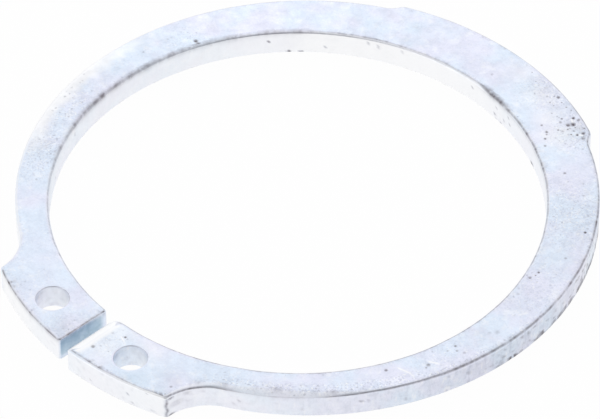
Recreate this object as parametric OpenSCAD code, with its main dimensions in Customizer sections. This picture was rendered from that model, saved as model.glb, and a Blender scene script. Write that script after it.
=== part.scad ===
// External retaining ring for a round shaft: one flat spring, stamped from steel strip.
// The ring lies on the plane Z = 0 with its axis on Z and its gap towards -Y.

/* [Ring] */
// Inside diameter of the free ring, before it is spread over its shaft
inner_d = 27.9; // [24:0.1:32]
// Thickness of the strip
thickness = 1.5; // [1:0.05:2.4]
// Radial width of the round beam at the gap end, where the spring bends least
beam_w_gap = 1.7; // [1.4:0.05:2.1]
// Radial width of the round beam opposite the gap, without the raised back
beam_w_back = 3.2; // [2.6:0.05:3.35]

/* [Raised back] */
// Radial width of the raised back
back_w = 3.55; // [3.4:0.05:4.2]
// Half of the angle over which the back stands raised
back_half_angle = 26; // [18:1:40]
// Radius of the hollow where the back steps down to the beam
back_hollow_r = 1.5; // [0.8:0.1:3]

/* [Lugs] */
// Radial height of the lugs, from the inside of the ring
lug_h = 3.4; // [3:0.05:4.4]
// Distance in X from the middle of the gap to the outer corner of each lug
lug_reach = 6.8; // [5.8:0.1:8]
// Radius of the hollow shoulder between lug and beam
lug_hollow_r = 3.1; // [1.6:0.1:3.8]
// Width of the gap between the two lugs
gap = 0.7; // [0.4:0.1:2.5]

/* [Plier holes] */
// Diameter of the holes for the plier tips
hole_d = 1.9; // [1.2:0.1:2.2]
// Distance between the centres of the two holes
hole_spacing = 6.4; // [5:0.1:8]
// Distance of each hole's centre from the inside of the ring, along the radius
hole_inset = 1.85; // [1.5:0.05:2.1]

/* [Edges] */
// Radius of the rolled edge that the punch leaves round the top face
edge_roll = 0.17; // [0.05:0.01:0.3]

/* [Hidden] */
$fn = 128;
zinc = [0.86, 0.89, 0.94];

// How far a cutter runs past the face that it cuts through
past = 1;
// How far a hollow cuts into the beam that it runs out on, so that the two surfaces cross cleanly
bite = 0.01;

inner_r = inner_d / 2;
back_r = inner_r + back_w;
lug_r = inner_r + lug_h;
hole_r = hole_d / 2;
wall_h = thickness - edge_roll;

// The beam's outside is one circle. Its centre lies off the ring's axis, away from the gap,
// so that the section grows from the lugs to the back and bends evenly when it is spread.
beam_r = inner_r + (beam_w_gap + beam_w_back) / 2;
beam_centre = [0, (beam_w_back - beam_w_gap) / 2];

// Outer corners on the +X side, where a hollow starts on its way down to the beam
lug_corner = [lug_reach, -sqrt(pow(lug_r, 2) - pow(lug_reach, 2))];
back_corner = back_r * [sin(back_half_angle), cos(back_half_angle)];

hole_centre_y = -sqrt(pow(inner_r + hole_inset, 2) - pow(hole_spacing / 2, 2));

// Centre of the hollow of radius r that passes through a corner and runs out on the beam's
// circle. turn is 1 if the hollow lies anticlockwise of the corner, and -1 if clockwise.
function hollow_centre(corner, r, turn) =
    let (
        reach = beam_r + r - bite,
        span = norm(corner - beam_centre),
        along = (span * span + reach * reach - r * r) / (2 * span),
        aside = sqrt(reach * reach - along * along),
        u = (corner - beam_centre) / span
    )
    beam_centre + along * u + turn * aside * [-u[1], u[0]];

lug_hollow = hollow_centre(lug_corner, lug_hollow_r, 1);
back_hollow = hollow_centre(back_corner, back_hollow_r, -1);

// A round blank with its top edge rolled over
module blank(r) {
    rotate_extrude() {
        square([r, wall_h]);
        square([r - edge_roll, thickness]);
        translate([r - edge_roll, wall_h]) intersection() {
            circle(edge_roll);
            square(edge_roll);
        }
    }
}

// Half of a cutter's section: a straight wall at distance w that leaves a rolled edge at the top
module cut_section(w) {
    translate([0, -past]) square([w, thickness + 2 * past]);
    difference() {
        translate([0, wall_h]) square([w + edge_roll, edge_roll + past]);
        translate([w + edge_roll, wall_h]) circle(edge_roll);
    }
}

// Takes out a round hole, or a hollow out of the outline
module round_cut(r) {
    rotate_extrude() cut_section(r);
}

// The part of the plane between a hollow and its mirror image, as seen from the beam's centre
module between(hollow) {
    tip = [0, 2 * hollow[1] - beam_centre[1]];
    linear_extrude(thickness) polygon([beam_centre, hollow, tip, [-hollow[0], hollow[1]]]);
}

module raised(r, hollow) {
    intersection() {
        blank(r);
        between(hollow);
    }
}

module hollows(centre, r) {
    for (side = [0, 1]) mirror([side, 0, 0]) translate(centre) round_cut(r);
}

module plier_holes() {
    for (side = [-1, 1]) translate([side * hole_spacing / 2, hole_centre_y]) round_cut(hole_r);
}

// Parallel ends of the ring, cut through both lugs
module gap_cut() {
    rotate([90, 0, 0]) linear_extrude(lug_r + past) {
        cut_section(gap / 2);
        mirror([1, 0]) cut_section(gap / 2);
    }
}

module retaining_ring() {
    color(zinc) difference() {
        union() {
            translate(beam_centre) blank(beam_r);
            raised(back_r, back_hollow);
            raised(lug_r, lug_hollow);
        }
        hollows(back_hollow, back_hollow_r);
        hollows(lug_hollow, lug_hollow_r);
        round_cut(inner_r);
        plier_holes();
        gap_cut();
    }
}

retaining_ring();
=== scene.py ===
import math
from collections import namedtuple

import bpy
import bmesh
import numpy as np
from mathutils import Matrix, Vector, kdtree, noise
from mathutils.geometry import delaunay_2d_cdt


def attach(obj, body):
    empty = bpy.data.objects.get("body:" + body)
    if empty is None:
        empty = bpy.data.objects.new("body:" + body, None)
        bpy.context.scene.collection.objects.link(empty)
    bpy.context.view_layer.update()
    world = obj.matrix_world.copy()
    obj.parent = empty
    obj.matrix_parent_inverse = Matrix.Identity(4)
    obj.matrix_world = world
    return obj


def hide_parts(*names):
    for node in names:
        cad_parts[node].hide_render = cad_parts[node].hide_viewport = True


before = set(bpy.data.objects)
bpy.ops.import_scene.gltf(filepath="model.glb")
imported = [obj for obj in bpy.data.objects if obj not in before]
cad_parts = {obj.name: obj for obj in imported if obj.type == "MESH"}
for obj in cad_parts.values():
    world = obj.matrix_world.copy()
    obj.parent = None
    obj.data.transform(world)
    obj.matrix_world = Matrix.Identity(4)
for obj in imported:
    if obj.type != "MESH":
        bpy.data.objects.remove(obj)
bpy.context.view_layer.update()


# The retaining ring: one flat spring that snaps into a groove in a 30 mm shaft. It is punched whole from
# hardened steel strip, so that its upper edges are rolled over and its walls are sheared, and then it is
# zinc plated in a barrel, where the rings knock against one another.

# Sizes in millimetres. The beam's outside is one circle, whose centre lies off the ring's axis, so that
# the beam is wider at the back than at the gap.
millimetre = 0.001
ring_centre = np.zeros(2)
inside_r = 13.95
thickness = 1.5
beam_w_gap = 1.7
beam_w_back = 3.2
beam_r = inside_r + (beam_w_gap + beam_w_back) / 2
beam_centre = np.array([0, (beam_w_back - beam_w_gap) / 2])
lug_hollow_r = 3.1
back_w = 3.55
back_r = inside_r + back_w
back_half_angle = math.radians(26)
back_hollow_r = 1.5
hole_r = 0.94
hole_apart = 6.4
hole_inset = 1.85
hole_y = -math.sqrt((inside_r + hole_inset) ** 2 - (hole_apart / 2) ** 2)
hole_centres = [np.array([side * hole_apart / 2, hole_y]) for side in (-1, 1)]
# How far a hollow cuts into the beam that it runs out on
bite = 0.01


def hollow_centre(corner, r, turn):
    """Centre of a hollow that passes through an outer corner and runs out on the beam's circle."""
    reach = beam_r + r - bite
    to_corner = corner - beam_centre
    span = np.hypot(*to_corner)
    unit = to_corner / span
    along = (span**2 + reach**2 - r**2) / (2 * span)
    aside = math.sqrt(reach**2 - along**2)
    return beam_centre + along * unit + turn * aside * np.array([-unit[1], unit[0]])


def mirrored(point):
    """The same point on the other side of the gap."""
    return point * np.array([-1, 1])


# The two lugs of the real ring aren't quite alike: each has its own radius, reach and side of the gap
right_lug_r, right_reach, right_side = 17.55, 6.83, 0.30
left_lug_r, left_reach, left_side = 17.40, 7.06, -0.46
right_corner = np.array([right_reach, -math.sqrt(right_lug_r**2 - right_reach**2)])
left_corner = np.array([-left_reach, -math.sqrt(left_lug_r**2 - left_reach**2)])
right_hollow = hollow_centre(right_corner, lug_hollow_r, 1)
left_hollow = hollow_centre(left_corner, lug_hollow_r, -1)
back_corner = back_r * np.array([math.sin(back_half_angle), math.cos(back_half_angle)])
back_hollow = hollow_centre(back_corner, back_hollow_r, -1)


def run_out(hollow, turn):
    """Where a hollow leaves the beam: a point a little to the far side of the line of centres."""
    aside = 0.02
    to_hollow = hollow - beam_centre
    angle = math.atan2(to_hollow[1], to_hollow[0]) + turn * aside
    return beam_centre + beam_r * np.array([math.cos(angle), math.sin(angle)])


# The outline as the punch goes round it, anticlockwise, with steel on the left: straight ends and arcs.
# Each run has its kind, where it lies, which is an arc's centre or an end's X, its radius, the way it turns
# and the corner at which it starts.
Run = namedtuple("Run", "kind where radius turn start")
outline = [
    Run("end", right_side, 0, -1, np.array([right_side, -inside_r])),
    Run("arc", ring_centre, right_lug_r, 1, np.array([right_side, -right_lug_r])),
    Run("arc", right_hollow, lug_hollow_r, -1, right_corner),
    Run("arc", beam_centre, beam_r, 1, run_out(right_hollow, 1)),
    Run("arc", back_hollow, back_hollow_r, -1, run_out(back_hollow, -1)),
    Run("arc", ring_centre, back_r, 1, back_corner),
    Run("arc", mirrored(back_hollow), back_hollow_r, -1, mirrored(back_corner)),
    Run("arc", beam_centre, beam_r, 1, run_out(mirrored(back_hollow), 1)),
    Run("arc", left_hollow, lug_hollow_r, -1, run_out(left_hollow, -1)),
    Run("arc", ring_centre, left_lug_r, 1, left_corner),
    Run("end", left_side, 0, 1, np.array([left_side, -left_lug_r])),
    Run("arc", ring_centre, inside_r, -1, np.array([left_side, -inside_r])),
]
# Runs by their places in the outline: those that are named below, and those that start at a sharp corner
right_end_run, right_hollow_run, left_lug_run, left_end_run, inside_run = 0, 2, 9, 10, 11
back_corner_runs = (5, 6)
sharp_corners = (0, 1, 2, 5, 6, 9, 10, 11)


def arcs_meet(c1, r1, c2, r2, near):
    """Where two circles cross, for arrays of radii: the crossing nearer to a given corner."""
    span = np.hypot(*(c2 - c1))
    unit = (c2 - c1) / span
    side = np.array([-unit[1], unit[0]])
    along = (span**2 + r1**2 - r2**2) / (2 * span)
    aside = np.sqrt(np.maximum(r1**2 - along**2, 0))
    a = c1 + along[:, None] * unit + aside[:, None] * side
    b = c1 + along[:, None] * unit - aside[:, None] * side
    nearer = np.hypot(*(a - near).T) < np.hypot(*(b - near).T)
    return np.where(nearer[:, None], a, b)


def corner_at(index, inset):
    """The corner at which a run starts, after both of its edges have moved into the steel."""
    before, after = outline[index - 1], outline[index]
    if "end" in (before.kind, after.kind):
        end, arc = (before, after) if before.kind == "end" else (after, before)
        x = end.where - end.turn * inset
        r = arc.radius - arc.turn * inset
        return np.stack([x, -np.sqrt(r**2 - x**2)], 1)
    r_before = before.radius - before.turn * inset
    r_after = after.radius - after.turn * inset
    return arcs_meet(before.where, r_before, after.where, r_after, after.start)


def along_run(index, share, inset):
    """Points at given shares of a run, each moved into the steel by its own inset."""
    run = outline[index]
    start = corner_at(index, inset)
    stop = corner_at((index + 1) % len(outline), inset)
    if run.kind == "end":
        return start + share[:, None] * (stop - start)
    start_angle = np.arctan2(*(start - run.where).T[::-1])
    stop_angle = np.arctan2(*(stop - run.where).T[::-1])
    sweep = np.mod(run.turn * (stop_angle - start_angle), 2 * np.pi)
    angle = start_angle + run.turn * share * sweep
    r = run.radius - run.turn * inset
    return run.where + r[:, None] * np.stack([np.cos(angle), np.sin(angle)], 1)


def shares(length, step, sharp_start, sharp_stop):
    """Where the columns of the mesh stand along a run: close together beside a sharp corner."""
    fine, zone = 0.05, 0.4
    at = [0.0]
    while at[-1] < length - 1e-9:
        close = (sharp_start and at[-1] < zone) or (sharp_stop and at[-1] > length - zone - step)
        at.append(at[-1] + (fine if close else step))
    return np.array(at[:-1]) / at[-1]


# Columns of points stand all along the outline. Each belongs to one run, at its own share of that run.
column_step = 0.15
measured_at = 60
run_of, share_of = [], []
for i in range(len(outline)):
    stepped = along_run(i, np.linspace(0, 1, measured_at), np.zeros(measured_at))
    length = np.hypot(*np.diff(stepped, axis=0).T).sum()
    at = shares(length, column_step, i in sharp_corners, (i + 1) % len(outline) in sharp_corners)
    run_of += [i] * len(at)
    share_of += list(at)
run_of, share_of = np.array(run_of), np.array(share_of)


def inset_loop(inset):
    """The whole outline, moved into the steel by an inset for each column."""
    loop = np.zeros((len(run_of), 2))
    for i in range(len(outline)):
        here = run_of == i
        loop[here] = along_run(i, share_of[here], inset[here])
    return loop


edge = inset_loop(np.zeros(len(run_of)))
travelled = np.concatenate([[0], np.cumsum(np.hypot(*np.diff(edge, axis=0).T))])
total = travelled[-1] + np.hypot(*(edge[0] - edge[-1]))


def from_start(run):
    """How far along the outline each column stands from the start of a run."""
    return travelled - travelled[np.argmax(run_of == run)]


def softening_near(away, most, reach):
    """How much the outline is softened at each column, by how far away a corner is."""
    return most * np.exp(-((away / reach) ** 2))


# All corners are softened a little and the two of the back more. The outer corner of the left lug has
# stayed sharp, and the right lug's corner between gap and inside is blunt.
half_way = total / 2
to_corner = np.min([np.abs((from_start(i) + half_way) % total - half_way) for i in sharp_corners], axis=0)
softening = softening_near(to_corner, most=0.2, reach=0.08)
for i in back_corner_runs:
    softening = np.maximum(softening, softening_near(from_start(i), most=0.25, reach=0.34))
sharp_zone, share_left = 0.3, 0.2
softening[np.abs(from_start(left_lug_run)) < sharp_zone] *= share_left
to_blunt_corner = np.minimum(travelled, total - travelled)
softening = np.maximum(softening, softening_near(to_blunt_corner, most=0.95, reach=0.4))


def soften(loop, rounds=52):
    """Takes the sharpness off the outline's corners, as barrel plating does."""
    for _ in range(rounds):
        loop = loop + softening[:, None] * ((np.roll(loop, 1, 0) + np.roll(loop, -1, 0)) / 2 - loop)
    return loop


def wander(points, scale, seed):
    """Smooth noise from -1 to 1 at each point of a plane, with a given number of waves a millimetre. Each
    seed picks a layer of its own."""
    layer = seed * 7.3
    return np.array([noise.noise(Vector((x * scale, y * scale, layer))) for x, y in points])


# Which columns stand on the inside and on the two ends, and where round the ring each column stands, in
# degrees from +X: from 0 to 360, and from -180 to 180
inside = run_of == inside_run
right_end = run_of == right_end_run
left_end = run_of == left_end_run
turned = np.degrees(np.arctan2(edge[:, 1], edge[:, 0])) % 360
from_x = np.mod(turned + 180, 360) - 180


def along_edges(outer, inner, at_right_end, at_left_end):
    """A value for each column of the mesh. Those of the outer and the inner edge are eased between a few
    places round the ring, each with its degrees from +X. Each end of the gap has one value."""
    value = np.interp(turned, *zip(*outer), period=360)
    value[inside] = np.interp(turned[inside], *zip(*inner), period=360)
    value[right_end] = at_right_end
    value[left_end] = at_left_end
    return np.convolve(np.r_[value[-3:], value, value[:3]], np.hanning(9)[1:-1] / 4, "valid")


# How wide and how deep the edge is rolled over in each place. The end of the right lug is worn to a
# broad soft bevel, and beside that lug's shoulder the punch has dragged the edge down.
roll_w = along_edges(
    [(0, 0.2), (20, 0.17), (269, 0.15), (271, 0.18), (291, 0.18), (294, 0.24), (298, 0.33), (303, 0.34),
     (306, 0.42), (309.5, 0.48), (314, 0.44), (320, 0.36), (328, 0.2), (338, 0.14), (346, 0.2)],
    [(45, 0.17), (88, 0.17), (228, 0.17)], 0.46, 0.1
) * (1 + 0.12 * wander(edge, 0.9, 1) + 0.08 * wander(edge, 3.1, 2))
roll_h = along_edges(
    [(0, 0.2), (20, 0.17), (246, 0.15), (248, 0.12), (269, 0.12), (271, 0.09), (292, 0.09), (294, 0.13),
     (302, 0.15), (304, 0.14), (306, 0.15), (309.5, 0.17), (314, 0.15), (320, 0.12), (328, 0.14), (338, 0.17),
     (346, 0.2)],
    [(45, 0.17), (88, 0.11), (134, 0.1), (165, 0.1), (175, 0.14), (228, 0.17)], 0.15, 0.08
) * (1 + 0.12 * wander(edge, 0.7, 3))

# How far the edge is a straight slope instead of a round, as the punch dragged it beside the right lug
straight = along_edges([(300, 0), (305, 1), (322, 1), (330, 0)], [(0, 0)], 0, 0)

# The mesh has a margin row on the top face, then the rows of the roll, then those of the wall, each level
# a share of the wall's height from the top, and last two rows for the broken edge at the bottom.
top_margin = 0.1
bottom_margin = 0.2
roll_angles = np.radians([90, 80, 70, 60, 50, 40, 30, 20, 10, 0])
wall_levels = np.array([0.04, 0.1, 0.18, 0.28, 0.38, 0.48, 0.58, 0.68, 0.78, 0.85, 0.9, 0.95, 1.0])
edge_break = 0.03
# The wall is cut smoothly at the top and torn below this level. Its ripples are this deep.
torn_from = 0.62
cut_ripple, torn_ripple = 0.006, 0.014
# How far the fraying reaches down the roll, as a share of it, and the rim's line down the wall
fray_reach, fade_reach = 0.25, 0.12

# The finish of each point of the mesh: how dark it is, with oil, bare steel, painted shade and dark
# reflection, how white it is, burnished and with painted light and highlights, how far it has a blue-green
# tint, the passivate's film on the top face and painted shade in the narrow gap and the plier holes, and how
# thickly fine dark specks lie on it.
few_specks = 0.12


def painted(count, dark=0.0, bright_and_painted_light=0.0, film_and_shade=0.0, specks=few_specks):
    """The finish for one row of points, from single values or one value for each point."""
    return np.stack([np.broadcast_to(v, count) for v in (dark, bright_and_painted_light, film_and_shade, specks)], 1)


def edge_rows(loop_at, widths, depths, outward, ripples, rim, wall):
    """The rows of points from the flat top, over the rolled edge and down the sheared wall to the bottom."""
    n = len(widths)

    def line_at(down):
        """How dark the rim's line is, so far down the roll."""
        return rim["dark"] * np.exp(-(((down - rim["at"]) / rim["spread"]) ** 2))

    margin_dark = np.maximum(line_at(-0.3), 0.4 * rim["frayed"])
    margin_finish = painted(n, margin_dark, specks=rim["specks"])
    rows = [(loop_at(widths + top_margin), np.full(n, thickness), margin_finish)]
    for angle in roll_angles:
        inset = widths * (1 - math.cos(angle))
        sloped = rim["straight"] * math.cos(angle) ** 1.25
        z = thickness - depths * ((1 - rim["straight"]) * (1 - math.sin(angle)) + sloped)
        down = 1 - math.degrees(angle) / 90
        dark = np.maximum(line_at(down), rim["frayed"] * np.exp(-((down / fray_reach) ** 2)))
        # The painted highlight along the roll, kept off the rim's dark line
        painted_highlight = rim["painted_highlight"] * np.clip(2.2 * np.sin(down * np.pi * 0.95) + rim["upper_highlight"], 0, 1) * (1 - dark)
        bright_and_painted_light = np.maximum(painted_highlight, wall["bright_and_painted_light"] * down**2)
        rows.append((loop_at(inset), z, painted(n, dark, bright_and_painted_light, specks=rim["specks"] * (1 - down))))
    foot = loop_at(np.zeros(n))
    for level in wall_levels:
        z = (thickness - depths) * (1 - level) + edge_break * level
        torn = np.clip((level - torn_from) / 0.2, 0, 1)
        push = ripples[0] * cut_ripple * (1 - torn) + ripples[1] * torn_ripple * torn
        core = np.clip(np.sin(np.pi * np.clip(level, 0, 1) ** 0.8) * 1.6, 0, 1)
        below = (thickness - z) - depths
        dark = np.maximum(rim["dark"] * wall["fade"] * np.exp(-below / fade_reach), wall["stain_and_shade"](z))
        finish = painted(n, dark, wall["bright_and_painted_light"] * (1 - dark), wall["film_and_shade"] * core)
        rows.append((foot + outward * push[:, None], z, finish))
    rows.append((loop_at(np.full(n, edge_break)), np.zeros(n), painted(n)))
    rows.append((loop_at(np.full(n, bottom_margin)), np.zeros(n), painted(n)))
    return rows


# The way out of the steel at each column, and the ripples of its wall, where it is cut and where it is torn
tangent = np.roll(edge, -1, 0) - np.roll(edge, 1, 0)
tangent = tangent / np.hypot(*tangent.T)[:, None]
outward = np.stack([tangent[:, 1], -tangent[:, 0]], 1)
ripples = (wander(edge, 2.6, 4), wander(edge, 4.2, 5) + 0.6 * wander(edge, 1.3, 6))

# The rim is where the edge rolls over. A dark line runs along it, partly oil and bare steel and partly a
# painted
# dark reflection of the roll: how dark it is, where on the roll it lies, with 0 at the top and 1 at the wall,
# how far it spreads and how far it frays into the top face. Beside the line the roll has a painted highlight,
# and in some places, the far left and the right lug's end, its upper part has a painted highlight too.
patchy = 0.5 + 0.5 * wander(edge, 0.7, 13)
dotted = 0.5 + 0.5 * wander(edge, 2.8, 15)
flecked = np.clip(1.3 * wander(edge, 7.3, 20) + 0.7 * wander(edge, 1.9, 21), 0, 1)
outline_rim = {
    "straight": straight,
    "dark": along_edges(
        [(0, 0.85), (15, 0.85), (30, 0.75), (50, 0.7), (70, 0.7), (85, 0.4), (130, 0.35), (150, 0.3),
         (165, 0.2), (180, 0.06), (208, 0.06), (230, 0.04), (246.6, 0.1), (247.0, 1.0), (260, 0.9),
         (269, 1.0), (271, 0.7), (292, 0.7), (294, 0.8), (301, 0.6), (303.5, 0.45), (306, 0.45), (310, 0.5),
         (316, 0.5), (325, 0.5), (338, 0.55), (350, 0.8)],
        [(45, 0.6), (50, 0.8), (75, 0.8), (79, 1.0), (87, 1.0), (89, 0.6), (112, 0.6), (125, 0.6),
         (134, 0.5), (165, 0.6), (180, 0.75), (205, 0.75), (228, 0.4), (240, 0.4), (270, 0.5), (300, 0.8),
         (350, 0.8)], 0.0, 0.85
    ) * (0.45 + 0.5 * patchy + 0.4 * dotted) * (0.75 + 0.6 * flecked),
    "at": along_edges(
        [(0, 0.5), (30, 0.4), (230, 0.4), (247, 0.5), (248, 0.7), (269, 0.7), (271, 0.14), (292, 0.14),
         (294, 0.7), (298, 0.85), (303, 1.0), (320, 1.05), (326, 0.8), (332, 0.6), (340, 0.55)],
        [(45, 0.45), (79, 0.5), (88, 0.15), (130, 0.12), (137, 0.25), (165, 0.25), (180, 0.4), (228, 0.45),
         (250, 0.25), (360, 0.25)], -0.05, 0.35
    ) + 0.1 * wander(edge, 1.1, 16),
    "spread": along_edges(
        [(0, 0.26), (20, 0.27), (50, 0.27), (70, 0.22), (230, 0.2), (248, 0.3), (269, 0.3), (271, 0.15),
         (292, 0.15), (294, 0.24), (298, 0.14), (303, 0.12), (308, 0.12), (318, 0.12), (325, 0.16),
         (338, 0.22)],
        [(45, 0.3), (76, 0.34), (80, 0.75), (86, 0.75), (88, 0.2), (130, 0.2), (137, 0.75), (165, 0.8),
         (185, 0.75), (210, 0.55), (228, 0.3), (250, 0.16), (350, 0.16)], 0.1, 0.34
    ),
    "painted_highlight": along_edges(
        [(0, 0.1), (45, 0.2), (165, 0.3), (182, 0.95), (205, 0.95), (218, 0.5), (230, 0.6), (247, 0.3),
         (269, 0.3), (271, 0.3), (280, 0.6), (292, 1.0), (294, 0.4), (302, 0.35), (318, 0.35), (325, 0.3),
         (340, 0.15)],
        [(45, 0.5), (75, 0.5), (88, 0.7), (132, 0.7), (138, 0.4), (228, 0.3)], 1.0, 0.3
    ),
    "upper_highlight": along_edges([(165, 0), (182, 1), (204, 1), (216, 0)], [(0, 0)], 0.8, 0),
    "frayed": flecked * along_edges(
        [(0, 0.3), (20, 0.2), (50, 0.2), (80, 0.3), (120, 0.1), (246, 0.0), (248, 0.7), (269, 0.6),
         (271, 0.75), (291, 0.7), (294, 0.5), (302, 0.3), (306, 0.5), (310, 0.8), (322, 0.8), (330, 0.4),
         (345, 0.35)],
        [(45, 0.2), (75, 0.3), (90, 0.4), (130, 0.4), (137, 0.25), (200, 0.15), (228, 0.1), (270, 0.1),
         (316, 0.2)], 0.0, 0.6
    ),
    "specks": along_edges(
        [(0, 0.5), (50, 0.45), (130, 0.15), (246, 0.3), (293, 0.45), (306, 0.7), (310, 1.0), (322, 1.0),
         (328, 0.6), (345, 0.9), (355, 0.8)],
        [(45, 0.4), (90, 0.5), (110, 0.2), (225, 0.2), (316, 0.3)], 0.25, 0.45
    ),
}
# Nicks along the foot of the outer wall, each with the degrees from +X at which it starts and stops, its
# height and how dark it is. Spots on the walls each have their degrees, height, radius and how dark they are.
nicks = [
    (-2.1, -1.6, 0.08, 0.5), (-0.9, -0.4, 0.14, 0.4), (1.2, 1.8, 0.1, 0.9), (2.6, 3.1, 0.1, 1.0),
    (4.0, 5.0, 0.08, 1.0), (8.3, 9.4, 0.08, 0.9), (9.7, 11.1, 0.15, 0.9), (10.9, 14.0, 0.04, 0.6),
    (14.4, 15.2, 0.1, 0.9), (16.3, 17.6, 0.12, 1.0), (18.0, 19.4, 0.15, 0.9), (20.4, 21.9, 0.14, 0.9),
    (24.2, 25.4, 0.15, 1.0), (25.4, 26.9, 0.2, 0.9), (27.9, 28.7, 0.14, 0.8), (29.7, 31.5, 0.16, 0.9),
    (32.4, 33.4, 0.14, 0.9), (33.9, 34.9, 0.16, 0.9), (36.3, 36.9, 0.2, 0.8), (37.3, 37.9, 0.2, 0.9),
    (39.3, 40.9, 0.2, 0.8), (43.0, 44.2, 0.18, 0.5),
]
inner_spots = [
    (63.9, 0.08, 0.12, 0.8), (64.8, 0.03, 0.1, 0.7), (76.5, 0.61, 0.07, 0.5), (76.9, 0.98, 0.06, 0.4),
    (78.8, 0.43, 0.08, 0.4), (80.2, 0.05, 0.07, 0.5), (81.7, 0.05, 0.07, 0.6), (82.0, 0.9, 0.06, 0.4),
    (82.4, 0.32, 0.08, 0.6), (90.6, 1.0, 0.07, 0.4), (110.8, 1.2, 0.08, 0.3), (117.0, 1.1, 0.1, 0.35),
    (119.6, 1.22, 0.08, 0.35), (130.1, 0.46, 0.07, 0.5), (135.9, 0.06, 0.09, 1.0), (138.8, 0.06, 0.1, 1.0),
    (143.5, 0.88, 0.09, 0.9), (202.0, 0.9, 0.09, 0.3), (215.8, 0.43, 0.1, 0.3),
]
outer_spots = [
    (-8.7, 0.75, 0.13, 0.4), (-3.2, 0.45, 0.14, 0.4), (-1.0, 0.35, 0.1, 0.35), (-31.0, 0.85, 0.09, 0.5),
    (-29.6, 0.8, 0.07, 0.4), (-75.0, 0.75, 0.07, 0.4), (-22.0, 0.4, 0.1, 0.3), (-13.0, 1.1, 0.08, 0.35),
    (-71.0, 1.4, 0.06, 0.35), (-73.8, 0.2, 0.06, 0.3), (-69.8, 0.2, 0.07, 0.3), (-83.2, 0.3, 0.05, 0.25),
    (-66.7, 1.32, 0.08, 0.7), (-66.6, 0.08, 0.08, 0.8), (-66.0, 0.75, 0.2, 0.2), (-64.6, 1.2, 0.12, 0.25),
    (-62.0, 1.15, 0.1, 0.2), (-56.0, 0.4, 0.06, 0.4), (-55.0, 0.7, 0.06, 0.35), (-42.6, 0.5, 0.1, 0.2),
]
# How much painted shade the outer wall has in each place, most where it faces +X, how scuffed it is, and how
# far each column stands from the outer corner of the right lug, which has rusted
shaded_wall = along_edges([(300, 0.0), (340, 0.04), (355, 0.16), (18, 0.09), (35, 0.0)], [(0, 0)], 0, 0)
scuffed = along_edges([(325, 0.1), (350, 0.3), (2, 0.55), (30, 0.6), (50, 0.3), (70, 0)], [(0, 0)], 0, 0)
from_lug_corner = from_start(right_hollow_run)


def wall_stain_and_shade(z):
    """Dark marks at one height of the walls: nicks, scuffs, spots, rust down the right lug's corner and
    painted shade.
    """
    nick_end = 0.25
    rust_w = 0.1
    stain_and_shade = np.zeros(len(edge))
    for first, last, height, dark in nicks:
        beyond = np.maximum(np.maximum(first - from_x, from_x - last), 0)
        away = (beyond / nick_end) ** 2 + ((z - height) / (height + edge_break)) ** 2
        dark = dark * (0.7 + 0.6 * flecked)
        stain_and_shade = np.maximum(stain_and_shade, dark * np.clip(1.9 * np.exp(-away), 0, 1) * ~inside)
    scuffs = np.array([noise.noise(Vector((x * 3.4, y * 3.4, h * 4.2))) for (x, y), h in zip(edge, z)])
    stain_and_shade = np.maximum(stain_and_shade, scuffed * np.clip(2.4 * scuffs - 0.5, 0, 1))
    for spots, here, degrees in ((inner_spots, inside, turned), (outer_spots, ~inside, from_x)):
        for at, height, radius, dark in spots:
            aside = np.radians(degrees - at) * inside_r
            away = np.hypot(aside, z - height) / radius
            stain_and_shade = np.maximum(stain_and_shade, dark * np.clip(1.8 * (1 - away / 1.4), 0, 1) * here)
    rusty = 0.6 + 0.7 * np.array([noise.noise(Vector((0, 0, h * 4.7))) for h in z])
    astray = 0.16 * np.array([noise.noise(Vector((9, 0, h * 3.1))) for h in z])
    # Painted shade over the outer wall, most where it faces +X
    stain_and_shade = np.maximum(stain_and_shade, shaded_wall * ~inside)
    return np.maximum(stain_and_shade, rusty * np.exp(-(((from_lug_corner - 0.03 + astray) / rust_w) ** 2)))


# The walls: how bright they are, partly as bare sheared steel and partly as painted light, whitest on walls
# that face -Y towards the lamp beside the gap, how far they have the blue-green tint, a painted shade of the
# gap that fades out at its two mouths, how far the rim's line fades down them, and their marks and painted
# shade
outer_mouth, inner_mouth = -17.42, -14.05
in_gap = np.clip((edge[:, 1] - outer_mouth) / 0.15, 0, 1) * np.clip((inner_mouth - edge[:, 1]) / 0.4, 0, 1)
outline_wall = {
    "bright_and_painted_light": along_edges(
        [(0, 0.05), (15, 0.1), (30, 0.3), (60, 0.35), (225, 0.4), (232, 0.9), (247, 0.7), (248, 1.0),
         (256, 1.0), (262, 0.85), (269, 0.9), (271, 0.75), (280, 0.75), (292, 0.9), (294, 0.5), (305, 0.5),
         (318, 0.3), (340, 0.1)],
        [(45, 0.75), (75, 0.7), (88, 0.95), (100, 1.0), (134, 1.0), (142, 0.8), (175, 0.6), (190, 0.6),
         (228, 0.45), (316, 0.45)], 0.0, 0.0
    ),
    "film_and_shade": np.where(left_end | right_end, in_gap, 0),
    "fade": along_edges(
        [(246, 0.0), (248, 0.5), (269, 0.5), (271, 0.0), (301, 0.0), (305, 0.35), (322, 0.35), (328, 0.0)],
        [(79, 0.5), (86, 0.5), (90, 0.0), (134, 0.0), (139, 0.6), (190, 0.6), (215, 0.2), (228, 0.0)], 0, 0.4
    ),
    "stain_and_shade": wall_stain_and_shade,
}
# The free ring isn't quite round inside: how far its inner edge lies outside its circle
off_round = along_edges(
    [(0, 0)],
    [(20, 0.01), (60, 0), (240, 0), (255, -0.04), (268, -0.04), (282, 0.02), (302, 0.04), (314, 0.1),
     (345, 0.1), (4, 0.05)], 0, 0
)


def outline_loop(inset):
    """The loop of points round the outline, for any inset from its edge."""
    return soften(inset_loop(inset + off_round))


outline_rows = edge_rows(outline_loop, roll_w, roll_h, outward, ripples, outline_rim, outline_wall)

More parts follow.
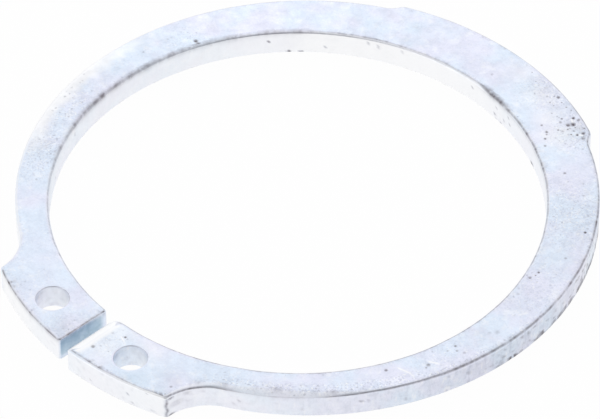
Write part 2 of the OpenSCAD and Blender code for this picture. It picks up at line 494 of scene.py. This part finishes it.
# The plier holes: a thin rolled rim and a wall each
hole_columns = 72
hole_roll_w, hole_roll_h = 0.045, 0.05
around = np.linspace(0, 2 * np.pi, hole_columns, endpoint=False)
spoke = np.stack([np.cos(-around), np.sin(-around)], 1)
# The holes' rims have a thin dark line, partly a painted dark reflection, and a painted highlight
hole_rim = {
    "straight": 0.0, "dark": 0.2, "at": 0.9, "spread": 0.4, "painted_highlight": 0.35, "upper_highlight": 0.0, "frayed": 0.0,
    "specks": few_specks,
}
# The left side of each hole's wall, which faces +X away from the lamps, is darker and bluer with painted
# shade
hole_left = 0.5 + 0.5 * np.cos(-around - math.radians(195))


def hole_stain_and_shade(z):
    """Mottled grey down the wall of a hole, with painted shade that darkens its left side."""
    mottle = [noise.noise(Vector((a * 2.6, h * 3.0, 5))) for a, h in zip(around, z)]
    return np.clip(0.01 + 0.24 * np.array(mottle), 0, 1) * (0.2 + 0.8 * hole_left)


left_hole = {"bright_and_painted_light": 0.8 - 0.45 * hole_left, "film_and_shade": 0.0, "fade": 0.0, "stain_and_shade": hole_stain_and_shade}
right_hole = {"bright_and_painted_light": 0.8 - 0.7 * hole_left, "film_and_shade": 0.4 * hole_left, "fade": 0.0, "stain_and_shade": hole_stain_and_shade}


def hole_loop(centre):
    """The loop of points round a hole, for any inset from its rim."""
    return lambda inset: centre + (hole_r + inset)[:, None] * spoke


hole_rows = []
for centre, hole_wall in zip(hole_centres, (left_hole, right_hole)):
    circle = centre + hole_r * spoke
    widths = hole_roll_w * (1 + 0.15 * wander(circle, 1.4, 8))
    depths = hole_roll_h * (1 + 0.15 * wander(circle, 1.1, 18))
    hole_ripples = (wander(circle, 3.0, 9), wander(circle, 4.0, 10))
    hole_rows.append(edge_rows(hole_loop(centre), widths, depths, -spoke, hole_ripples, hole_rim, hole_wall))

# Each hollow of the outline with the outer corner that it starts from and its radius
hollows = [
    (right_corner, right_hollow, lug_hollow_r),
    (left_corner, left_hollow, lug_hollow_r),
    (back_corner, back_hollow, back_hollow_r),
    (mirrored(back_corner), mirrored(back_hollow), back_hollow_r),
]


def room(points):
    """How far each point of the plane lies inside the outline, and below zero outside it."""
    far_outside = -9
    from_axis = np.hypot(*points.T)
    inner = from_axis - inside_r
    beside_gap = np.maximum(points[:, 0] - right_side, left_side - points[:, 0])
    inner = np.where(points[:, 1] < 0, np.minimum(inner, beside_gap), inner)
    for centre in hole_centres:
        inner = np.minimum(inner, np.hypot(*(points - centre).T) - hole_r)
    outer = beam_r - np.hypot(*(points - beam_centre).T)
    for corner, hollow, hollow_r in hollows:
        raised = np.minimum(np.hypot(*corner) - from_axis, np.hypot(*(points - hollow).T) - hollow_r)
        across = points[:, 0] * np.sign(corner[0])
        elsewhere = (across < 0) | (across > abs(hollow[0])) | (points[:, 1] * corner[1] < 0)
        outer = np.maximum(outer, np.where(elsewhere, far_outside, raised))
    return np.minimum(outer, inner)


# The loose points of the two flat faces stand clear of the outline and of the rows along the edge
clearance = 0.34
row_clearance = 0.07
margin_w = roll_w + top_margin + off_round
edge_tree = kdtree.KDTree(len(edge))
for i, place in enumerate(edge):
    edge_tree.insert((*place, 0), i)
edge_tree.balance()


def clear_of_edge(points):
    """Whether each point of the top face stands clear of the rows of points along its edge."""
    nearest = [edge_tree.find((x, y, 0)) for x, y in points]
    return np.array([away > margin_w[i] + row_clearance for _, i, away in nearest])


def grid(spacing, seed):
    """Points spread evenly over the face, clear of the outline, each a little off its place."""
    off_place = 0.12
    rng = np.random.default_rng(seed)
    xs = np.arange(-back_r, back_r, spacing)
    ys = np.arange(-back_r, back_r, spacing * math.sqrt(3) / 2)
    x, y = np.meshgrid(xs, ys)
    x = x + (np.arange(len(ys)) % 2)[:, None] * spacing / 2
    points = np.stack([x.ravel(), y.ravel()], 1)
    points = points + rng.uniform(-off_place, off_place, points.shape) * spacing
    return points[room(points) > clearance]


# Pits that the strip brought from the rolling mill, and knocks from the barrel: where each lies on the
# top face, its radius, its depth, and how dark it is. The largest lie at the right end of the back.
pits = [
    (6.42, 15.47, 0.17, 0.05, 1.0), (6.27, 15.25, 0.14, 0.05, 1.0), (6.07, 15.88, 0.11, 0.04, 1.0),
    (6.40, 15.95, 0.10, 0.03, 0.9), (7.21, 15.02, 0.10, 0.03, 0.9), (7.35, 15.36, 0.12, 0.03, 0.9),
    (7.09, 15.70, 0.09, 0.03, 0.7), (7.66, 15.05, 0.14, 0.04, 0.6), (7.55, 15.22, 0.09, 0.03, 0.5),
    (4.23, 16.53, 0.11, 0.03, 0.8), (4.0, 16.42, 0.07, 0.02, 0.5), (3.13, 16.56, 0.07, 0.02, 0.4),
    (5.81, 15.08, 0.10, 0.02, 0.6), (6.43, 14.65, 0.11, 0.02, 0.4), (5.65, 15.35, 0.08, 0.02, 0.7),
    (6.62, 15.95, 0.07, 0.02, 0.6), (6.19, 13.46, 0.08, 0.02, 0.8), (6.61, 13.03, 0.08, 0.02, 0.7),
    (5.86, 13.92, 0.09, 0.02, 0.8), (6.0, 13.78, 0.07, 0.02, 0.7), (5.25, 14.13, 0.08, 0.02, 0.6),
    (2.38, 16.57, 0.05, 0.01, 0.5), (2.71, 16.46, 0.05, 0.01, 0.5), (4.22, 15.87, 0.06, 0.01, 0.6),
    (4.54, 15.84, 0.05, 0.01, 0.6), (4.67, 16.35, 0.06, 0.01, 0.5), (5.14, 16.24, 0.06, 0.01, 0.7),
    (5.53, 16.26, 0.05, 0.01, 0.6), (6.18, 14.52, 0.06, 0.01, 0.8), (6.52, 14.96, 0.06, 0.01, 0.8),
    (6.96, 14.79, 0.07, 0.01, 0.8), (6.85, 15.11, 0.06, 0.01, 0.8), (6.71, 15.38, 0.05, 0.01, 0.7),
    (4.94, 15.27, 0.05, 0.01, 0.5), (5.32, 15.31, 0.05, 0.01, 0.5), (1.67, 16.98, 0.05, 0.01, 0.5),
    (8.98, 12.20, 0.09, 0.02, 0.6), (13.18, 9.53, 0.09, 0.03, 1.0), (11.63, 12.07, 0.10, 0.03, 0.5),
    (1.07, 17.23, 0.08, 0.03, 0.4), (13.67, 5.35, 0.08, 0.02, 0.9), (13.63, 4.71, 0.10, 0.03, 0.8),
    (13.72, 5.06, 0.06, 0.02, 0.6), (10.63, -11.42, 0.1, 0.02, 0.8), (12.2, -9.85, 0.08, 0.02, 0.7),
    (14.64, -2.05, 0.09, 0.02, 0.8), (14.67, -4.15, 0.12, 0.03, 0.8), (14.74, -4.38, 0.07, 0.02, 0.6),
    (13.39, -6.09, 0.10, 0.02, 0.7), (14.62, -2.62, 0.07, 0.02, 0.4), (14.95, -2.25, 0.08, 0.02, 0.4),
    (1.82, -14.62, 0.08, 0.03, 1.0), (1.15, -16.37, 0.12, 0.03, 0.6), (1.10, -14.90, 0.08, 0.02, 0.2),
    (6.35, -15.38, 0.09, 0.02, 0.5), (-13.40, 4.70, 0.12, 0.03, 1.0), (-13.66, 4.77, 0.14, 0.03, 1.0),
    (-15.02, 1.9, 0.07, 0.02, 0.3), (-14.4, -5.1, 0.06, 0.02, 0.3), (0.22, 15.18, 0.1, 0.02, 0.3),
    (13.89, 7.25, 0.1, 0.02, 0.5), (14.09, 3.31, 0.1, 0.02, 0.3), (15.45, 0.35, 0.16, 0.02, 0.3),
    (15.2, 0.0, 0.13, 0.02, 0.22), (15.34, -2.06, 0.1, 0.02, 0.3), (15.49, -3.73, 0.08, 0.02, 0.3),
]
# Fresh scrapes, where the plate is bared white: the two ends of each, half its width and how white it is
scrapes = [
    ((13.74, -5.48), (14.32, -5.34), 0.045, 0.8), ((14.53, -3.93), (14.92, -3.70), 0.05, 0.8),
    ((14.3, -5.3), (14.75, -5.35), 0.035, 0.6), ((15.3, 2.2), (15.5, 2.6), 0.05, 0.45),
    ((6.1, 15.7), (6.25, 15.6), 0.05, 0.9), ((7.3, 15.1), (7.45, 15.2), 0.04, 0.9),
    ((1.66, -14.75), (1.9, -14.85), 0.04, 0.9), ((4.6, 12.9), (4.9, 13.0), 0.05, 0.5),
]
# Grey smudges of handling and of old oil, and, as the widest of them, broad patches of painted shade: each
# place, its radius and how dark it is
smudges_and_shade = [
    (7.0, 15.5, 1.0, 0.22), (4.9, 15.9, 1.3, 0.12), (3.0, 16.6, 1.2, 0.14), (14.9, -0.4, 1.0, 0.12),
    (-5.6, -16.3, 0.7, 0.1), (-1.0, -16.7, 0.8, 0.3), (-0.7, -15.4, 0.5, 0.12), (7.4, -14.3, 0.9, 0.2),
    (11.2, -11.9, 1.3, 0.15), (6.0, -15.3, 1.6, 0.13), (14.2, 3.0, 1.3, 0.1), (-15.3, -2.2, 3.0, 0.13),
    (-13.6, -7.4, 3.0, 0.13), (-14.9, 3.0, 2.2, 0.08), (13.4, 7.8, 2.6, 0.13), (-6.6, 14.2, 3.2, 0.09),
    (0.5, 15.8, 2.0, 0.08), (11.9, 9.9, 2.0, 0.17), (7.8, -13.5, 1.2, 0.1), (-12.9, -7.6, 0.55, 0.22),
    (-12.6, -8.1, 0.5, 0.2),
]
# Round each pit the mesh has rings of points: each ring's radius, in radii of the pit, and how many points
# it has. The even points of the face keep this many radii away.
pit_rings = ((0.0, 1), (0.45, 6), (0.85, 9), (1.25, 12), (1.8, 13))
pit_zone = 2.1


def from_mark(points, x, y, r):
    """How far each point lies from the middle of a round mark, in radii of the mark."""
    return np.hypot(points[:, 0] - x, points[:, 1] - y) / r


def from_scrape(points, first, last):
    """How far each point lies from the line of a scrape."""
    first, last = np.array(first), np.array(last)
    along = last - first
    share = np.clip((points - first) @ along / (along @ along), 0, 1)
    return np.hypot(*(points - first - share[:, None] * along).T)


def mark_points():
    """Closer points round each pit and along each scrape, so that its form and its edge are crisp."""
    scrape_step = 0.05
    points = []
    for x, y, r, _, _ in pits:
        for share, count in pit_rings:
            turn = np.linspace(0, 2 * np.pi, count, endpoint=False) + share * 2
            points.append(np.stack([x + share * r * np.cos(turn), y + share * r * np.sin(turn)], 1))
    for first, last, half, _ in scrapes:
        first, last = np.array(first), np.array(last)
        length = np.hypot(*(last - first))
        unit = (last - first) / length
        aside = np.array([-unit[1], unit[0]])
        steps = np.arange(-half, length + half, scrape_step)
        for offset in (-1.3, -0.6, 0.0, 0.6, 1.3):
            points.append(first + steps[:, None] * unit + offset * half * aside)
    return np.concatenate(points)


def fill(loops, loose):
    """Triangles for a flat face: between its edge loops, through its loose points."""
    points = np.concatenate(list(loops) + [loose])
    links, loop_of = [], []
    for number, loop in enumerate(loops):
        first, n = len(loop_of), len(loop)
        links += [(first + j, first + (j + 1) % n) for j in range(n)]
        loop_of += [number] * n
    loop_of += [0] * len(loose)
    _, _, faces, origin, _, _ = delaunay_2d_cdt([Vector(p) for p in points], links, [], 1, 1e-5)
    back_to = [o[0] if o else -1 for o in origin]
    found = [[back_to[v] for v in face] for face in faces]
    in_hole = [loop_of[f[0]] > 0 and len({loop_of[v] for v in f}) == 1 for f in found]
    return points, [f for f, hole in zip(found, in_hole) if min(f) >= 0 and not hole]


# The two flat faces. Only the top face has marks, so its points stand closer.
top_spacing, bottom_spacing = 0.16, 0.32
all_rows = [outline_rows] + hole_rows
top_grid = grid(top_spacing, 3)
from_marks = np.min([from_mark(top_grid, x, y, r) for x, y, r, _, _ in pits], axis=0)
for first, last, half, _ in scrapes:
    from_marks = np.minimum(from_marks, from_scrape(top_grid, first, last) / half)
top_grid = top_grid[(from_marks > pit_zone) & clear_of_edge(top_grid)]
dents = mark_points()
dents = dents[(room(dents) > clearance) & clear_of_edge(dents)]
top_loops = [rows[0][0] for rows in all_rows]
top_points, top_faces = fill(top_loops, np.concatenate([top_grid, dents]))
bottom_loops = [rows[-1][0] for rows in all_rows]
bottom_points, bottom_faces = fill(bottom_loops, grid(bottom_spacing, 4))

vertices, faces, finishes = [], [], []


def add(points, z, finish):
    """Adds a row or a face's points to the ring's mesh and returns the number of the first."""
    first = len(vertices)
    vertices.extend(np.column_stack([points, z]).tolist())
    finishes.extend(finish.tolist())
    return first


# The relief of the top face, and how dark it is: low waves, pits, and smudges with painted shade. The first
# points are those of its loops, and they stay level with the roll.
edge_count = sum(len(loop) for loop in top_loops)
low_waves = 0.003 * wander(top_points, 0.25, 11) + 0.0015 * wander(top_points, 0.9, 12)
low_waves[:edge_count] = 0
top_z = thickness - np.abs(low_waves)
top_shade = np.zeros(len(top_points))
for x, y, r, depth, dark in pits:
    away = from_mark(top_points, x, y, r)
    bowl = np.clip(1 - (away / 1.25) ** 2, 0, 1) ** 1.5
    bowl[:edge_count] = 0
    top_z -= depth * bowl
    top_shade = np.maximum(top_shade, dark * np.clip(1.6 * (1 - away / 1.3), 0, 1))
mottle = 0.6 + 0.7 * wander(top_points, 2.3, 17)
for x, y, r, dark in smudges_and_shade:
    away = from_mark(top_points, x, y, r)
    top_shade = np.maximum(top_shade, dark * np.exp(-(away**2)) * mottle)

# Where the top face is whiter: places wiped clean, each with its radius and how white it is, the scrapes, and
# painted highlights along the right lug's bevelled end and along the rim on the left
wiped_places = [
    (1.4, 16.6, 0.8, 0.3), (3.3, 15.7, 0.9, 0.35), (5.1, 14.8, 0.9, 0.35), (6.5, 14.1, 1.0, 0.45),
    (1.7, -15.9, 1.1, 0.4), (1.3, -14.6, 0.9, 0.4), (3.4, -14.4, 1.0, 0.3),
]
wiped = np.zeros(len(top_points))
for x, y, r, white in wiped_places:
    wiped = np.maximum(wiped, white * np.exp(-(from_mark(top_points, x, y, r) ** 2)))
bared = np.zeros(len(top_points))
for first, last, half, white in scrapes:
    bared = np.maximum(bared, white * np.clip(1.7 - from_scrape(top_points, first, last) / half, 0, 1))
# The right lug's end and the rim on the left get a painted highlight on the top face
end_highlight_w, rim_highlight_w = 0.92, 1.05
lug_from_y = -13.8
ragged_end = 0.1 * wander(top_points, 1.6, 19)
beside_end = top_points[:, 0] - right_side
on_end = (top_points[:, 1] < lug_from_y) & (beside_end > 0)
end_highlight = np.where(on_end, np.clip((end_highlight_w + ragged_end - beside_end) / 0.3, 0, 1), 0)
from_outside = beam_r - np.hypot(*(top_points - beam_centre).T)
round_ring = np.degrees(np.arctan2(top_points[:, 1], top_points[:, 0])) % 360
on_left = np.interp(round_ring, [165, 183, 204, 216], [0, 1, 1, 0])
rim_highlight = 0.85 * on_left * np.clip((rim_highlight_w + 3 * ragged_end - from_outside) / 0.6, 0, 1)
wiped_and_highlight = np.maximum.reduce([end_highlight, rim_highlight, wiped])

# Where specks gather on the top face: each place with its radius and how thickly they lie
speckled = [
    (11.6, 10.2, 2.8, 0.55), (7.0, 15.2, 1.6, 0.8), (14.6, 4.5, 2.2, 0.42), (14.9, -3.0, 2.0, 0.35),
    (8.5, -13.6, 1.2, 0.6), (11.5, -12.0, 1.2, 0.6), (1.5, -15.5, 1.0, 0.5), (-13.9, 4.4, 1.2, 0.4),
    (3.6, 16.4, 1.6, 0.6), (-5.4, -15.8, 1.4, 0.25), (-1.2, -16.2, 1.0, 0.4), (-14.6, -4.6, 2.2, 0.5),
    (-13.0, -8.2, 2.4, 0.65),
]
top_specks = np.full(len(top_points), few_specks)
for x, y, r, amount in speckled:
    gathered = np.clip(1.5 - from_mark(top_points, x, y, r), 0, 1)
    top_specks = np.maximum(top_specks, few_specks + (amount - few_specks) * gathered)
# The punch's drag has left a dense band of specks beside its bevel, past the right lug's shoulder
by_bevel = np.interp(round_ring, [298, 306, 330, 345], [0, 1, 1, 0.3])
top_specks = np.maximum(top_specks, by_bevel * np.clip((1.0 - from_outside) / 0.3, 0, 1))

# The loops take the finish of the margin rows, and the face is a little bluer beside the gap
edge_finish = np.concatenate([rows[0][2] for rows in all_rows])
top_specks[:edge_count] = np.maximum(top_specks[:edge_count], edge_finish[:, 3])
top_shade[:edge_count] = np.maximum(top_shade[:edge_count], edge_finish[:, 0])
top_shade = top_shade * (1 - bared)
bluer = 0.2 * np.interp(round_ring, [205, 235, 302, 318], [0.3, 1, 1, 0])
bluer = np.clip(bluer * (1 + 2 * wander(top_points, 0.45, 22)), 0, 1)
bluer = np.maximum(bluer, 0.3 * np.exp(-(from_mark(top_points, -6.0, -15.2, 1.8) ** 2)))
top_finish = painted(len(top_points), top_shade, np.maximum(wiped_and_highlight, bared), bluer, top_specks)
first_top = add(top_points, top_z, top_finish)
faces += [[first_top + v for v in f] for f in top_faces]
first_bottom = add(bottom_points, np.zeros(len(bottom_points)), painted(len(bottom_points)))
faces += [[first_bottom + v for v in f] for f in bottom_faces]

# Each band of rows joins its loop in the top face to its loop in the bottom face
loop_top, loop_bottom = first_top, first_bottom
for rows in all_rows:
    n = len(rows[0][0])
    starts = [loop_top] + [add(*row) for row in rows[1:-1]] + [loop_bottom]
    for upper, lower in zip(starts, starts[1:]):
        faces += [[upper + j, upper + (j + 1) % n, lower + (j + 1) % n, lower + j] for j in range(n)]
    loop_top += n
    loop_bottom += n

ring_mesh = bpy.data.meshes.new("retaining_ring_steel")
ring_mesh.from_pydata((np.array(vertices) * millimetre).tolist(), [], faces)
finish_layer = ring_mesh.attributes.new("finish", "FLOAT_COLOR", "POINT")
finish_layer.data.foreach_set("color", np.array(finishes, np.float32).ravel())
shell = bmesh.new()
shell.from_mesh(ring_mesh)
bmesh.ops.recalc_face_normals(shell, faces=shell.faces)
shell.to_mesh(ring_mesh)
shell.free()
crease = math.radians(42)
ring_mesh.shade_smooth()
ring_mesh.set_sharp_from_angle(angle=crease)
ring = bpy.data.objects.new("retaining_ring_plated", ring_mesh)
bpy.context.scene.collection.objects.link(ring)

# Bright zinc, passivated faintly blue: satin, clouded, flecked, with dark lines at the edges, partly thin
# plating and partly painted dark reflection, painted highlights on the rolled edges, painted light on some
# walls and painted shade in the gap and the holes
pale_blue, pale_lilac, pale_white = (0.775, 0.865, 0.99), (0.815, 0.83, 0.96), (0.93, 0.95, 1.0)
mottle_grey, grain_grey, shear_grey = (0.55, 0.60, 0.72), (0.50, 0.53, 0.64), (0.50, 0.54, 0.66)
grain_white, shear_white, burnish_and_painted_light_white = (0.98, 0.99, 1.0), (0.98, 0.98, 1.0), (0.98, 0.985, 1.0)
film_and_shade_blue, speck_grey, oil_and_shade_brown = (0.47, 0.61, 0.725), (0.34, 0.35, 0.41), (0.155, 0.135, 0.15)
zinc = bpy.data.materials.new("bright_zinc_plate")
zinc.use_nodes = True
nodes, links = zinc.node_tree.nodes, zinc.node_tree.links
plate = nodes["Principled BSDF"]
plate.inputs["Metallic"].default_value = 0.95


def node(kind, settings=None, **inputs):
    """Adds a node, with its settings and with a value or a link for each of its inputs."""
    made = nodes.new(kind)
    for name, value in (settings or {}).items():
        setattr(made, name, value)
    for name, value in inputs.items():
        socket = made.inputs[int(name[1:])] if name[0] == "_" and name[1:].isdigit() else made.inputs[name]
        if isinstance(value, bpy.types.NodeSocket):
            links.new(value, socket)
        else:
            socket.default_value = value
    return made


def sums(operation, a, b):
    """One operation of arithmetic on two values or links."""
    return node("ShaderNodeMath", {"operation": operation}, _0=a, _1=b).outputs[0]


def between(value, low, high, to_low=0.0, to_high=1.0):
    """Eases smoothly from one number to another while a value goes from low to high."""
    made = node("ShaderNodeMapRange", {"interpolation_type": "SMOOTHSTEP"}, Value=value)
    for name, number in (("From Min", low), ("From Max", high), ("To Min", to_low), ("To Max", to_high)):
        made.inputs[name].default_value = number
    return made.outputs[0]


def tinted(share, a, b):
    """Colour a with a share of colour b in it."""
    made = node("ShaderNodeMix", {"data_type": "RGBA"}, _0=share)
    for place, colour in ((6, a), (7, b)):
        if isinstance(colour, bpy.types.NodeSocket):
            links.new(colour, made.inputs[place])
        else:
            made.inputs[place].default_value = (*colour, 1)
    return made.outputs[2]


in_metres = node("ShaderNodeTexCoord").outputs["Object"]
in_mm = node("ShaderNodeVectorMath", {"operation": "SCALE"}, _0=in_metres)
in_mm.inputs["Scale"].default_value = 1 / millimetre
mm = in_mm.outputs[0]


def cloud(scale, detail, roughness=0.55, place=mm):
    """Soft random patches, with a given number of them a millimetre."""
    made = node("ShaderNodeTexNoise", None, Vector=place, Scale=scale, Detail=detail, Roughness=roughness)
    return made.outputs["Fac"]


finish = node("ShaderNodeAttribute", {"attribute_name": "finish"})
channels = node("ShaderNodeSeparateColor", None, Color=finish.outputs["Color"])
dark, burnish_and_painted_light, film_and_shade = channels.outputs[0], channels.outputs[1], channels.outputs[2]
speckling = finish.outputs["Alpha"]

# The plate itself: patches of blue, lilac and white, grey mottling and a fine grain where specks gather
lilac = sums("MULTIPLY", between(cloud(0.42, 3), 0.35, 0.65), between(film_and_shade, 0.0, 0.35, 1, 0.1))
shade = tinted(lilac, pale_blue, pale_lilac)
shade = tinted(between(cloud(1.6, 4), 0.52, 0.72, 0, 0.5), shade, pale_white)
mottled = sums("MULTIPLY", between(cloud(3.6, 3), 0.36, 0.58, 0.24, 0), between(speckling, 0.1, 0.5, 0.6, 1))
shade = tinted(mottled, shade, mottle_grey)
dark_grain = sums("MULTIPLY", between(cloud(8.5, 2), 0.34, 0.5, 1, 0), between(speckling, 0.1, 0.8, 0.1, 0.5))
shade = tinted(dark_grain, shade, grain_grey)
thick_grain = between(cloud(7.5, 2), 0.55, 0.7, 0, 1)
white_grain = sums("MULTIPLY", thick_grain, between(speckling, 0.1, 0.7, 0.2, 0.75))
shade = tinted(white_grain, shade, grain_white)

# The walls, whose grain is drawn out down the shear, then the whitening of burnish and painted light, and the
# blue-green tint, painted shade in the gap and the holes and film on the top face
normal = node("ShaderNodeNewGeometry").outputs["Normal"]
facing_up = node("ShaderNodeSeparateXYZ", None, _0=normal).outputs[2]
on_wall = between(sums("ABSOLUTE", facing_up, 0.0), 0.3, 0.6, 1, 0)
drawn_out = node("ShaderNodeVectorMath", {"operation": "MULTIPLY"}, _0=mm, _1=(1.0, 1.0, 0.35)).outputs[0]
shear_grain = cloud(3.4, 4, 0.6, drawn_out)
plain_wall = sums("MULTIPLY", on_wall, sums("SUBTRACT", 1.0, sums("MULTIPLY", burnish_and_painted_light, 0.85)))
dark_shear = sums("MULTIPLY", plain_wall, between(shear_grain, 0.32, 0.5, 0.4, 0))
shade = tinted(dark_shear, shade, shear_grey)
bright_shear = sums("MULTIPLY", plain_wall, between(shear_grain, 0.56, 0.7, 0, 0.6))
shade = tinted(bright_shear, shade, shear_white)
shade = tinted(burnish_and_painted_light, shade, burnish_and_painted_light_white)
# The blue-green tint: film on the top face, and painted shade in the narrow gap and on the left of the holes
film_and_shade_cloud = sums("MULTIPLY", between(film_and_shade, 0.3, 1.0), between(cloud(2.2, 3), 0.3, 0.7, 0.68, 1))
shade = tinted(film_and_shade_cloud, shade, film_and_shade_blue)

# Fine dark specks on the flat faces, each of its own size and a little ragged, and the dark lines and marks,
# which are partly dirt and partly painted shade and dark reflection
wobble = node("ShaderNodeTexNoise", None, Vector=mm, Scale=9.0, Detail=2.0).outputs["Color"]
ragged = node("ShaderNodeVectorMath", {"operation": "MULTIPLY_ADD"}, _0=wobble, _1=(0.14, 0.14, 0.0), _2=mm)
speck_field = node(
    "ShaderNodeTexVoronoi", {"voronoi_dimensions": "2D"}, Vector=ragged.outputs[0], Scale=2.9
)
speck_pick = node("ShaderNodeSeparateColor", None, Color=speck_field.outputs["Color"])
speck_size = between(speck_pick.outputs[1], 0.0, 1.0, 0.4, 1.3)
speck_near = between(sums("DIVIDE", speck_field.outputs["Distance"], speck_size), 0.06, 0.24, 1, 0)
chosen = between(sums("SUBTRACT", speckling, speck_pick.outputs[0]), 0.0, 0.4, 0, 0.42)
chosen = sums("MULTIPLY", chosen, sums("SUBTRACT", 1.0, on_wall))
shade = tinted(sums("MULTIPLY", speck_near, chosen), shade, speck_grey)
broken = sums("MULTIPLY", dark, between(cloud(3.0, 3), 0.3, 0.55, 0.55, 1))
shade = tinted(broken, shade, oil_and_shade_brown)
links.new(shade, plate.inputs["Base Color"])
links.new(between(cloud(1.1, 3), 0.3, 0.7, 0.36, 0.5), plate.inputs["Roughness"])

relief_depth = 0.02 * millimetre
relief = node("ShaderNodeBump", None, Strength=0.35, Distance=relief_depth, Height=cloud(5.0, 4))
links.new(relief.outputs[0], plate.inputs["Normal"])
ring_mesh.materials.append(zinc)
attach(ring, "root")
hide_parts("retaining_ring")


# The table: one sheet of plain white card, cut large, that the ring lies on loose. It shows as white paper
# does in a bright tent, and it keeps a little of the ring's shadow.
card_half = 1.5
card_z = -0.01 * millimetre
card_mesh = bpy.data.meshes.new("card")
card_corners = [(x * card_half, y * card_half, card_z) for x, y in ((-1, -1), (1, -1), (1, 1), (-1, 1))]
card_mesh.from_pydata(card_corners, [], [(0, 1, 2, 3)])
card = bpy.data.objects.new("card", card_mesh)
bpy.context.scene.collection.objects.link(card)
paper = bpy.data.materials.new("white_card")
paper.use_nodes = True
nodes, links = paper.node_tree.nodes, paper.node_tree.links
paper_surface = nodes["Principled BSDF"]
paper_surface.inputs["Base Color"].default_value = (0.96, 0.96, 0.96, 1)
paper_surface.inputs["Roughness"].default_value = 0.9
glow = node("ShaderNodeEmission", None, Color=(1, 1, 1, 1), Strength=1.0)
ray = node("ShaderNodeLightPath")
reflected = sums("MAXIMUM", ray.outputs["Is Glossy Ray"], ray.outputs["Is Transmission Ray"])
seen = sums("MAXIMUM", ray.outputs["Is Camera Ray"], reflected)
paper_mix = node("ShaderNodeMixShader", None, _0=sums("MULTIPLY", seen, 0.975))
links.new(paper_surface.outputs[0], paper_mix.inputs[1])
links.new(glow.outputs[0], paper_mix.inputs[2])
links.new(paper_mix.outputs[0], nodes["Material Output"].inputs["Surface"])
card_mesh.materials.append(paper)


# The light: a tent of white cloth round the table, dimmer where the camera looks in, a soft lamp that stands
# low in front of the ring, to the left of its gap, and a small one close by the left of its back.
camera_azimuth = math.radians(46.62)
camera_elevation = math.radians(42.87)
towards_camera = Vector((
    math.sin(camera_azimuth) * math.cos(camera_elevation),
    -math.cos(camera_azimuth) * math.cos(camera_elevation),
    math.sin(camera_elevation),
))
tent = bpy.data.worlds.new("tent")
bpy.context.scene.world = tent
tent.use_nodes = True
nodes, links = tent.node_tree.nodes, tent.node_tree.links
cloth = nodes["Background"]
cloth_white, opening_grey = (0.98, 0.98, 0.98), (0.27, 0.265, 0.275)
direction = node("ShaderNodeTexCoord").outputs["Generated"]
facing = node("ShaderNodeVectorMath", {"operation": "DOT_PRODUCT"}, _0=direction, _1=tuple(towards_camera))
in_opening = between(facing.outputs["Value"], 0.62, 0.90)
links.new(tinted(in_opening, cloth_white, opening_grey), cloth.inputs["Color"])


def lamp(name, place, aim, size, power):
    """A round soft lamp at a place, aimed at another, with its width in metres and its power in watts."""
    data = bpy.data.lights.new(name, "AREA")
    data.shape = "DISK"
    data.size = size
    data.energy = power
    made = bpy.data.objects.new(name, data)
    bpy.context.scene.collection.objects.link(made)
    made.location = place
    made.rotation_euler = (Vector(aim) - Vector(place)).to_track_quat("-Z", "Y").to_euler()


lamp("lamp_gap_side", (-0.08, -0.30, 0.06), (0, 0, 0), 0.1, 0.07)
lamp("lamp_by_the_back", (-0.060, 0.055, 0.061), (-0.0116, 0.0098, 0), 0.04, 0.0015)


# The camera: a long lens that looks down at the ring from its front right. Its lens and sensor width are in
# millimetres, its aim, just beside the ring's middle, and its distance from there in metres.
aim = Vector((0.34, -0.15, 0.75)) * millimetre
distance = 0.2804
camera_data = bpy.data.cameras.new("camera")
camera_data.lens = 300
camera_data.sensor_width = 36
camera_data.clip_start = 0.01
camera_data.clip_end = 10
camera = bpy.data.objects.new("camera", camera_data)
bpy.context.scene.collection.objects.link(camera)
camera.location = aim + towards_camera * distance
camera.rotation_euler = (-towards_camera).to_track_quat("-Z", "Y").to_euler()
bpy.context.scene.camera = camera
bpy.context.scene.view_settings.view_transform = "Standard"
